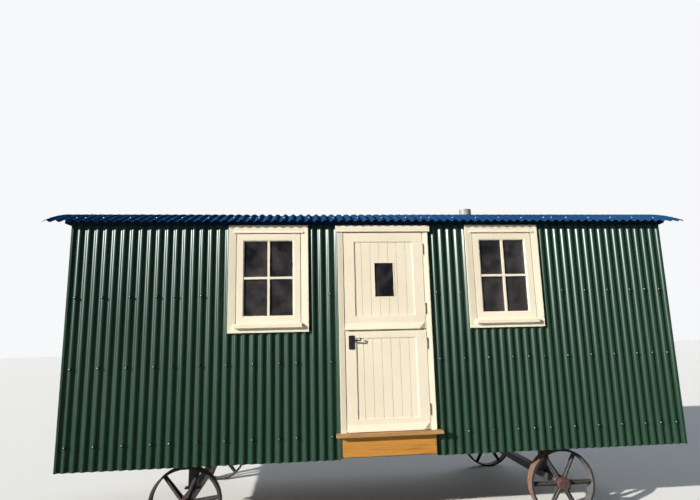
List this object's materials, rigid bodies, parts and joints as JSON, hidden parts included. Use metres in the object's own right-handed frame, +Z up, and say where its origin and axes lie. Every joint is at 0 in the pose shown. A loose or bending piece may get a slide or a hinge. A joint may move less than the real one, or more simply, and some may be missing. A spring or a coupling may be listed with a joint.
{
  "type": "shepherds hut",
  "caption": "Corrugated shepherds hut with a curved roof, a stable door, barred windows and a flue, on spoked iron wheels.",
  "frame": {"origin": "on the ground under the middle of the hut", "axes": "+X along the hut to the right of someone facing the door, +Y from the door side to the back, +Z up"},
  "size_m": [6.0198, 2.446, 3.3404],
  "materials": {
    "chassis_steel": "satin",
    "cast_iron": "matte",
    "framing_timber": "matte",
    "floor_timber": "satin",
    "wall_core": "matte",
    "green_sheet": "gloss",
    "blue_sheet": "gloss",
    "cream_paint": "satin",
    "oak": "satin",
    "varnished_board": "gloss",
    "dark_timber": "satin",
    "glass": "clear",
    "black_iron": "satin",
    "hinge_steel": "satin",
    "flue_steel": "satin",
    "flashing": "matte"
  },
  "bodies": {
    "hut": {"chassis_rails": "chassis_steel", "chassis_crossmembers": "chassis_steel", "axle_posts": "chassis_steel", "left_axle": "chassis_steel", "right_axle": "chassis_steel", "floor_bearers": "framing_timber", "floor": "floor_timber", "front_wall_left": "wall_core", "front_wall_right": "wall_core", "front_wall_header": "wall_core", "back_wall": "wall_core", "left_end_wall": "wall_core", "right_end_wall": "wall_core", "front_cladding": "green_sheet", "back_cladding": "green_sheet", "left_end_cladding": "green_sheet", "right_end_cladding": "green_sheet", "corner_trims": "green_sheet", "roof_deck": "wall_core", "left_roof_sheet": "blue_sheet", "middle_roof_sheet": "blue_sheet", "right_roof_sheet": "blue_sheet", "eaves_boards": "dark_timber", "roof_end_boards": "dark_timber", "left_window_frame": "cream_paint", "right_window_frame": "cream_paint", "left_window_sash": "cream_paint", "right_window_sash": "cream_paint", "left_window_glass": "glass", "right_window_glass": "glass", "left_door_jamb": "cream_paint", "right_door_jamb": "cream_paint", "door_head": "cream_paint", "oak_sill": "oak", "kick_board": "varnished_board", "fixed_hinge_halves": "hinge_steel", "flue": "flue_steel", "flue_flashing": "flashing", "strike_plate": "black_iron"},
    "upper_leaf": {"upper_leaf": "cream_paint", "upper_leaf_glass": "glass", "upper_leaf_hinge_halves": "hinge_steel"},
    "lower_leaf": {"lower_leaf": "cream_paint", "lower_leaf_hinge_halves": "hinge_steel", "back_plate": "black_iron"},
    "lever": {"lever": "black_iron"},
    "front_left_wheel": {"front_left_wheel": "cast_iron"},
    "front_right_wheel": {"front_right_wheel": "cast_iron"},
    "back_left_wheel": {"back_left_wheel": "cast_iron"},
    "back_right_wheel": {"back_right_wheel": "cast_iron"}
  },
  "joints": [
    {"name": "upper_leaf_hinge", "type": "hinge", "parent": "hut", "child": "upper_leaf", "pos_m": [0.3725, -1.1585, 2.1895], "axis": [0, 0, 1], "range_deg": [0, 120]},
    {"name": "lower_leaf_hinge", "type": "hinge", "parent": "hut", "child": "lower_leaf", "pos_m": [0.3725, -1.1585, 1.3005], "axis": [0, 0, 1], "range_deg": [0, 120]},
    {"name": "lever_turn", "type": "hinge", "parent": "lower_leaf", "child": "lever", "pos_m": [-0.315, -1.153, 1.65576], "axis": [0, 1, 0], "range_deg": [0, 40], "stiffness_Nm_per_rad": 0.6, "springref_deg": -11.46},
    {"name": "front_left_wheel_spin", "type": "hinge", "parent": "hut", "child": "front_left_wheel", "pos_m": [-1.769, -0.9355, 0.305], "axis": [0, 1, 0], "continuous": true},
    {"name": "front_right_wheel_spin", "type": "hinge", "parent": "hut", "child": "front_right_wheel", "pos_m": [1.629, -0.9355, 0.305], "axis": [0, 1, 0], "continuous": true},
    {"name": "back_left_wheel_spin", "type": "hinge", "parent": "hut", "child": "back_left_wheel", "pos_m": [-1.769, 0.9355, 0.305], "axis": [0, 1, 0], "continuous": true},
    {"name": "back_right_wheel_spin", "type": "hinge", "parent": "hut", "child": "back_right_wheel", "pos_m": [1.629, 0.9355, 0.305], "axis": [0, 1, 0], "continuous": true}
  ]
}
